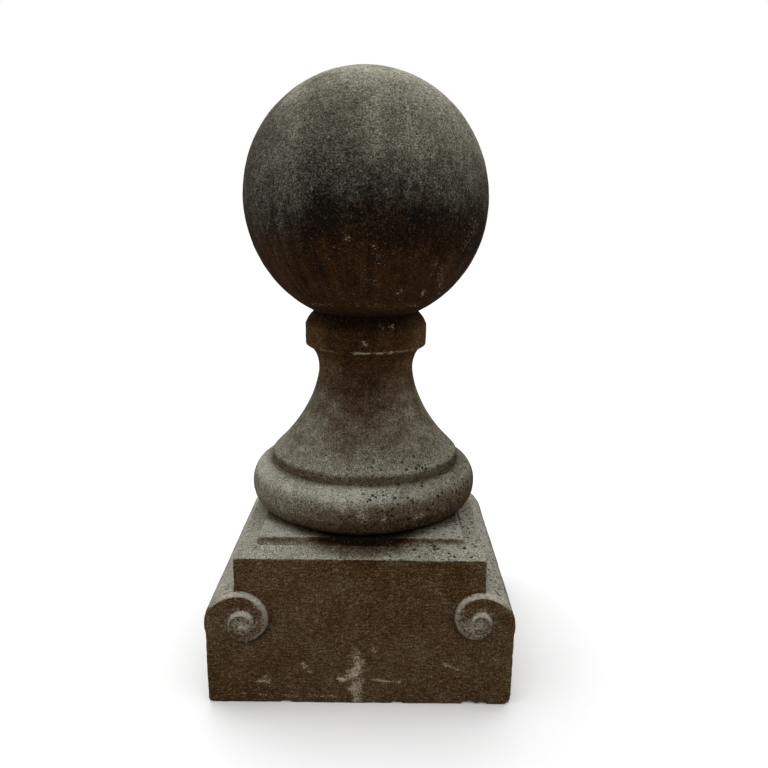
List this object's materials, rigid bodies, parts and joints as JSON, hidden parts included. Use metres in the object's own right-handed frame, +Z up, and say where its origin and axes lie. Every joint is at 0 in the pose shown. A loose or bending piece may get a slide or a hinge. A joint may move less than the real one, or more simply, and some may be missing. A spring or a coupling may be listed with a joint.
{
  "type": "stone pier ball",
  "caption": "Gate pier finial: a plain stone ball on a moulded, waisted stem, bedded on a rectangular plinth whose side rolls end in carved scrolls.",
  "frame": {"origin": "middle of the plinth's underside", "axes": "+Z up through the ball, -Y the front that the picture shows, X across the two scrolls"},
  "size_m": [0.4862, 0.4834, 0.9895],
  "materials": {
    "finial_stone": "rough, weathered, grey lichen above and dark crust below",
    "plinth_stone": "rough tooled faces, weathered light grey on the upward slopes"
  },
  "bodies": {
    "root": {"ball_finial": "finial_stone", "scroll_plinth": "plinth_stone"}
  },
  "joints": []
}
